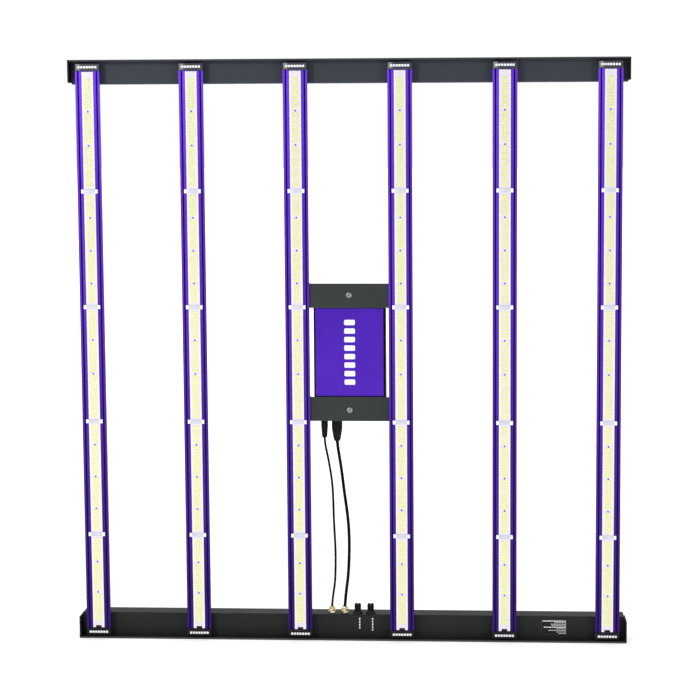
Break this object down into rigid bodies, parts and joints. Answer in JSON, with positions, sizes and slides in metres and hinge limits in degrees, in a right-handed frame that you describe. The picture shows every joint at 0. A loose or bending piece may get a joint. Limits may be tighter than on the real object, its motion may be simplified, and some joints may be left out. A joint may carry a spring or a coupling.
{
  "type": "led grow light",
  "caption": "Flat LED grow light: parallel finned light bars between hollow end rails, with a slim driver, its leads and ports, and hanging rings on the back.",
  "frame": {"origin": "middle of the light's overall width and depth, at the underside of the bottom rail that it stands on", "axes": "+X along the rails to the right as seen from the LED side, +Y from the LED side to the back where the rings are, +Z along the bars, up as it stands"},
  "size_m": [1.0724, 0.0622, 1.1315],
  "materials": {
    "charcoal_powder_coat": "fine matt powder coat, charcoal",
    "black_end_plate": "smooth black coat",
    "purple_anodised": "satin purple anodised",
    "purple_face": "satin purple coat",
    "black_anodised": "satin black anodised",
    "dark_plastic": "fine moulded texture, near black",
    "white_board": "white solder mask with yellow LED packages",
    "black_rubber": "soft matt black",
    "bright_steel": "bright zinc plate",
    "brass": "nickel-free polished brass",
    "circuit_green": "green solder mask",
    "label_black": "printed film"
  },
  "bodies": {
    "light_frame": {"top_rail": "charcoal_powder_coat", "top_rail_cover": "charcoal_powder_coat", "rail_end_plate_top_left": "black_end_plate", "rail_end_plate_top_right": "black_end_plate", "bottom_rail": "charcoal_powder_coat", "bottom_rail_cover": "charcoal_powder_coat", "rail_end_plate_bottom_left": "black_end_plate", "rail_end_plate_bottom_right": "black_end_plate", "light_bar_1": "purple_anodised", "led_strip_1": "white_board", "bar_end_cap_top_1": "dark_plastic", "bar_end_cap_bottom_1": "dark_plastic", "light_bar_2": "purple_anodised", "led_strip_2": "white_board", "bar_end_cap_top_2": "dark_plastic", "bar_end_cap_bottom_2": "dark_plastic", "light_bar_3": "purple_anodised", "led_strip_3": "white_board", "bar_end_cap_top_3": "dark_plastic", "bar_end_cap_bottom_3": "dark_plastic", "light_bar_4": "purple_anodised", "led_strip_4": "white_board", "bar_end_cap_top_4": "dark_plastic", "bar_end_cap_bottom_4": "dark_plastic", "light_bar_5": "purple_anodised", "led_strip_5": "white_board", "bar_end_cap_top_5": "dark_plastic", "bar_end_cap_bottom_5": "dark_plastic", "light_bar_6": "purple_anodised", "led_strip_6": "white_board", "bar_end_cap_top_6": "dark_plastic", "bar_end_cap_bottom_6": "dark_plastic", "driver_case": "black_anodised", "driver_face_panel": "purple_face", "driver_top_cover": "black_anodised", "driver_bottom_cover": "black_anodised", "driver_circuit_board": "circuit_green", "driver_bracket_top": "charcoal_powder_coat", "driver_bracket_bottom": "charcoal_powder_coat", "driver_screw_top": "bright_steel", "driver_screw_bottom": "bright_steel", "mains_inlet": "dark_plastic", "control_strain_relief": "black_rubber", "power_strain_relief": "black_rubber", "control_cable": "black_rubber", "power_cable": "black_rubber", "control_gland_body": "brass", "control_gland_nut": "brass", "power_gland_body": "brass", "power_gland_nut": "brass", "control_port_1": "dark_plastic", "control_port_2": "dark_plastic", "distribution_board": "circuit_green", "rating_plate": "label_black"},
    "hanging_ring_top_left_body": {"hanging_ring_top_left": "bright_steel"},
    "hanging_ring_top_right_body": {"hanging_ring_top_right": "bright_steel"},
    "hanging_ring_bottom_left_body": {"hanging_ring_bottom_left": "bright_steel"},
    "hanging_ring_bottom_right_body": {"hanging_ring_bottom_right": "bright_steel"},
    "dust_cap_1_body": {"dust_cap_1": "black_rubber"},
    "dust_cap_2_body": {"dust_cap_2": "black_rubber"}
  },
  "joints": [
    {"name": "ring_swing_top_left", "type": "hinge", "parent": "light_frame", "child": "hanging_ring_top_left_body", "pos_m": [-0.399, 0.02715, 1.1147], "axis": [1, 0, 0], "range_deg": [-4, 180]},
    {"name": "ring_swing_top_right", "type": "hinge", "parent": "light_frame", "child": "hanging_ring_top_right_body", "pos_m": [0.399, 0.02715, 1.1147], "axis": [1, 0, 0], "range_deg": [-4, 180]},
    {"name": "ring_swing_bottom_left", "type": "hinge", "parent": "light_frame", "child": "hanging_ring_bottom_left_body", "pos_m": [-0.399, 0.02715, 0.0295], "axis": [1, 0, 0], "range_deg": [-4, 180]},
    {"name": "ring_swing_bottom_right", "type": "hinge", "parent": "light_frame", "child": "hanging_ring_bottom_right_body", "pos_m": [0.399, 0.02715, 0.0295], "axis": [1, 0, 0], "range_deg": [-4, 180]},
    {"name": "dust_cap_pull_1", "type": "slide", "parent": "light_frame", "child": "dust_cap_1_body", "axis": [0, 0, 1], "range_m": [0, 0.02]},
    {"name": "dust_cap_pull_2", "type": "slide", "parent": "light_frame", "child": "dust_cap_2_body", "axis": [0, 0, 1], "range_m": [0, 0.02]}
  ]
}
